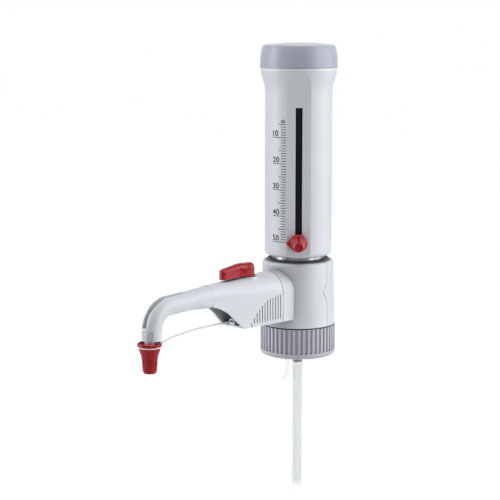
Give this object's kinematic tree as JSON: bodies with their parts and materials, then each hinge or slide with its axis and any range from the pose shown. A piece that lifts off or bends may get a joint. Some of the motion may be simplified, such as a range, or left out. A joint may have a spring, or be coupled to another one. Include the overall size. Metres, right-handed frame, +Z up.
{
  "type": "bottle top dispenser",
  "caption": "Hand-driven piston dispenser that screws onto a threaded bottle, with volume pointer, recirculation lever, discharge arm and capped nozzle.",
  "frame": {"origin": "on the bottle axis, in the plane of the seat that rests on the bottle's rim", "axes": "+Z up along the bottle axis, the discharge arm points along -X"},
  "size_m": [0.1988, 0.0617, 0.3434],
  "materials": {
    "grey": "moulded polypropylene, fluted",
    "seal": "matt",
    "white": "machined fluoropolymer",
    "shell": "moulded polypropylene, satin",
    "dark": "satin",
    "gloss_dark": "polished",
    "glass": "clear borosilicate",
    "ceramic": "polished",
    "clear": "translucent fluoropolymer",
    "red": "satin",
    "strap": "flexible",
    "metal": "turned",
    "cap": "satin"
  },
  "bodies": {
    "bottle_ring": {"thread_ring": "grey"},
    "valve_block": {"block_seal": "seal", "plug_insert": "white", "valve_core": "white", "block_front": "shell", "block_rear": "shell", "vent_plug": "shell", "locking_ring": "dark", "glass_cylinder": "glass", "guide_sleeve": "gloss_dark", "filling_valve": "white", "filling_tube": "clear", "return_tube": "clear", "discharge_valve": "white", "return_valve": "white", "discharge_tube": "clear", "nozzle_sleeve": "clear", "nozzle_guard": "clear", "arm_cover": "shell", "strap_clip": "shell", "cap_strap": "strap"},
    "plunger": {"piston_housing": "shell", "piston_rod": "metal", "piston": "white", "scale_rack": "dark"},
    "pointer": {"pointer_plate": "red", "clamp_nut": "metal"},
    "thumb_screw": {"thumb_screw": "red"},
    "calibration": {"calibration_wheel": "dark"},
    "top_cap": {"top_cap": "cap"},
    "lever": {"recirculation_lever": "red", "lever_spindle": "white"},
    "cap_thread": {"strap_ring": "strap"},
    "nozzle_cap": {"screw_cap": "red"},
    "filling_ball": {"filling_ball": "ceramic"},
    "discharge_ball": {"discharge_ball": "ceramic"},
    "lower_tube": {"drop_tube": "clear"}
  },
  "joints": [
    {"name": "block_swivel", "type": "hinge", "parent": "bottle_ring", "child": "valve_block", "pos_m": [0, 0, 0], "axis": [0, 0, 1], "continuous": true},
    {"name": "piston_stroke", "type": "slide", "parent": "valve_block", "child": "plunger", "axis": [0, 0, 1], "range_m": [0, 0.09714]},
    {"name": "volume_set", "type": "slide", "parent": "plunger", "child": "pointer", "axis": [0, 0, 1], "range_m": [0, 0.08743]},
    {"name": "thumb_turn", "type": "hinge", "parent": "pointer", "child": "thumb_screw", "pos_m": [-0.01961, -0.01646, 0.0693], "axis": [-0.766, -0.6428, 0], "range_deg": [0, 270]},
    {"name": "calibration_turn", "type": "hinge", "parent": "plunger", "child": "calibration", "pos_m": [0, 0, 0.194], "axis": [0, 0, 1], "range_deg": [-180, 180]},
    {"name": "cap_pull", "type": "slide", "parent": "plunger", "child": "top_cap", "axis": [0, 0, 1], "range_m": [0, 0.025]},
    {"name": "lever_turn", "type": "hinge", "parent": "valve_block", "child": "lever", "pos_m": [-0.058, 0, 0.05], "axis": [0, 0, 1], "range_deg": [0, 90]},
    {"name": "nozzle_cap_travel", "type": "slide", "parent": "valve_block", "child": "cap_thread", "axis": [0, 0, -1], "range_m": [0, 0.006]},
    {"name": "nozzle_cap_turn", "type": "hinge", "parent": "cap_thread", "child": "nozzle_cap", "pos_m": [-0.1602, 0, 0.005], "axis": [0, 0, -1], "range_deg": [0, 1085]},
    {"name": "filling_ball_lift", "type": "slide", "parent": "valve_block", "child": "filling_ball", "axis": [0, 0, 1], "range_m": [0, 0.0015]},
    {"name": "discharge_ball_lift", "type": "slide", "parent": "valve_block", "child": "discharge_ball", "axis": [0, 0, 1], "range_m": [0, 0.0015]},
    {"name": "tube_telescope", "type": "slide", "parent": "valve_block", "child": "lower_tube", "axis": [0, 0, -1], "range_m": [0, 0.085]}
  ],
  "couplings": [
    {"joint": "nozzle_cap_turn", "follows": "nozzle_cap_travel", "rad_per_m": 3141.6}
  ]
}
